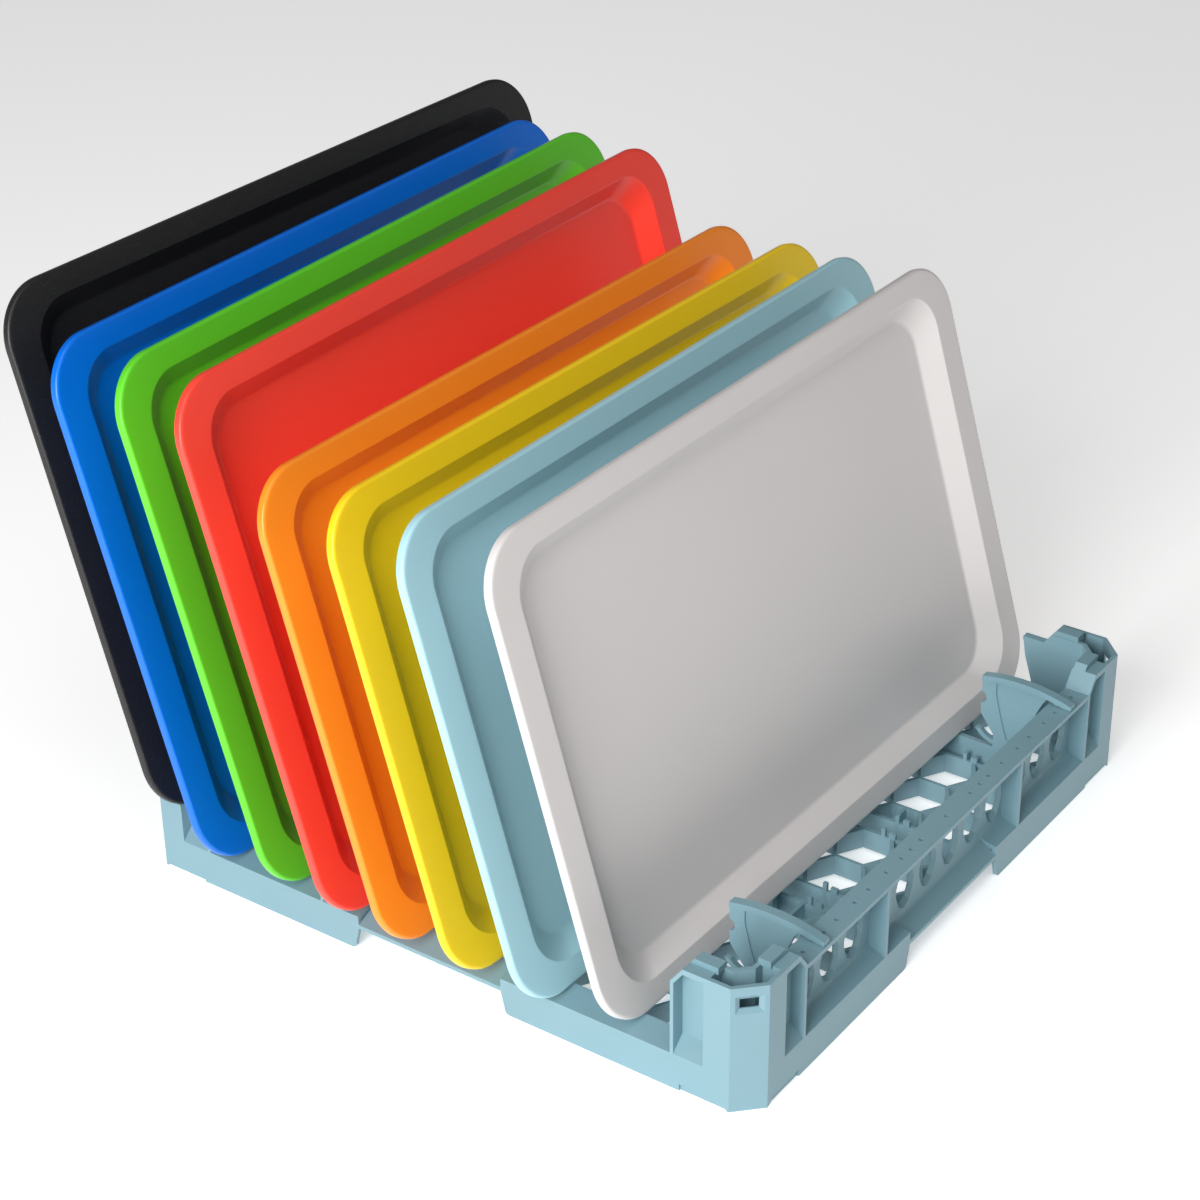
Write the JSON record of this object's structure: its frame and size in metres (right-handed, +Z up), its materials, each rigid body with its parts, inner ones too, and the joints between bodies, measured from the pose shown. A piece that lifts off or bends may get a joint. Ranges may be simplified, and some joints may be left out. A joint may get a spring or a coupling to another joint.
{
  "type": "tray rack",
  "caption": "Square open-sided dishwasher rack with honeycomb floor, hand rails, hollow corner posts and clip-in combs, loaded with coloured serving trays that lean back and lift out.",
  "frame": {"origin": "on the table, under the middle of the loaded rack's footprint", "axes": "+Z up; +Y towards the back, the way the trays lean; +X to the right, seen from the front where the trays face"},
  "size_m": [0.5434, 0.5584, 0.4138],
  "materials": {
    "rack_plastic": "satin moulded polypropylene",
    "white_tray": "satin polyester",
    "light_blue_tray": "satin polyester",
    "yellow_tray": "satin polyester",
    "orange_tray": "satin polyester",
    "red_tray": "satin polyester",
    "green_tray": "satin polyester",
    "blue_tray": "satin polyester",
    "black_tray": "fine grained polyester"
  },
  "bodies": {
    "rack": {"floor_grid": "rack_plastic", "front_skirt": "rack_plastic", "rear_skirt": "rack_plastic", "left_side": "rack_plastic", "right_side": "rack_plastic", "front_wall": "rack_plastic", "rear_wall": "rack_plastic", "front_rail": "rack_plastic", "rear_rail": "rack_plastic", "post_front_left": "rack_plastic", "post_front_right": "rack_plastic", "post_rear_left": "rack_plastic", "post_rear_right": "rack_plastic", "comb_left": "rack_plastic", "comb_right": "rack_plastic"},
    "white_tray": {"tray_white": "white_tray"},
    "light_blue_tray": {"tray_light_blue": "light_blue_tray"},
    "yellow_tray": {"tray_yellow": "yellow_tray"},
    "orange_tray": {"tray_orange": "orange_tray"},
    "red_tray": {"tray_red": "red_tray"},
    "green_tray": {"tray_green": "green_tray"},
    "blue_tray": {"tray_blue": "blue_tray"},
    "black_tray": {"tray_black": "black_tray"}
  },
  "joints": [
    {"name": "white_tray_lift", "type": "slide", "parent": "rack", "child": "white_tray", "axis": [0, 0.284, 0.9588], "range_m": [0, 0.4]},
    {"name": "light_blue_tray_lift", "type": "slide", "parent": "rack", "child": "light_blue_tray", "axis": [0, 0.284, 0.9588], "range_m": [0, 0.4]},
    {"name": "yellow_tray_lift", "type": "slide", "parent": "rack", "child": "yellow_tray", "axis": [0, 0.284, 0.9588], "range_m": [0, 0.4]},
    {"name": "orange_tray_lift", "type": "slide", "parent": "rack", "child": "orange_tray", "axis": [0, 0.284, 0.9588], "range_m": [0, 0.4]},
    {"name": "red_tray_lift", "type": "slide", "parent": "rack", "child": "red_tray", "axis": [0, 0.284, 0.9588], "range_m": [0, 0.4]},
    {"name": "green_tray_lift", "type": "slide", "parent": "rack", "child": "green_tray", "axis": [0, 0.284, 0.9588], "range_m": [0, 0.4]},
    {"name": "blue_tray_lift", "type": "slide", "parent": "rack", "child": "blue_tray", "axis": [0, 0.284, 0.9588], "range_m": [0, 0.4]},
    {"name": "black_tray_lift", "type": "slide", "parent": "rack", "child": "black_tray", "axis": [0, 0.284, 0.9588], "range_m": [0, 0.4]}
  ]
}
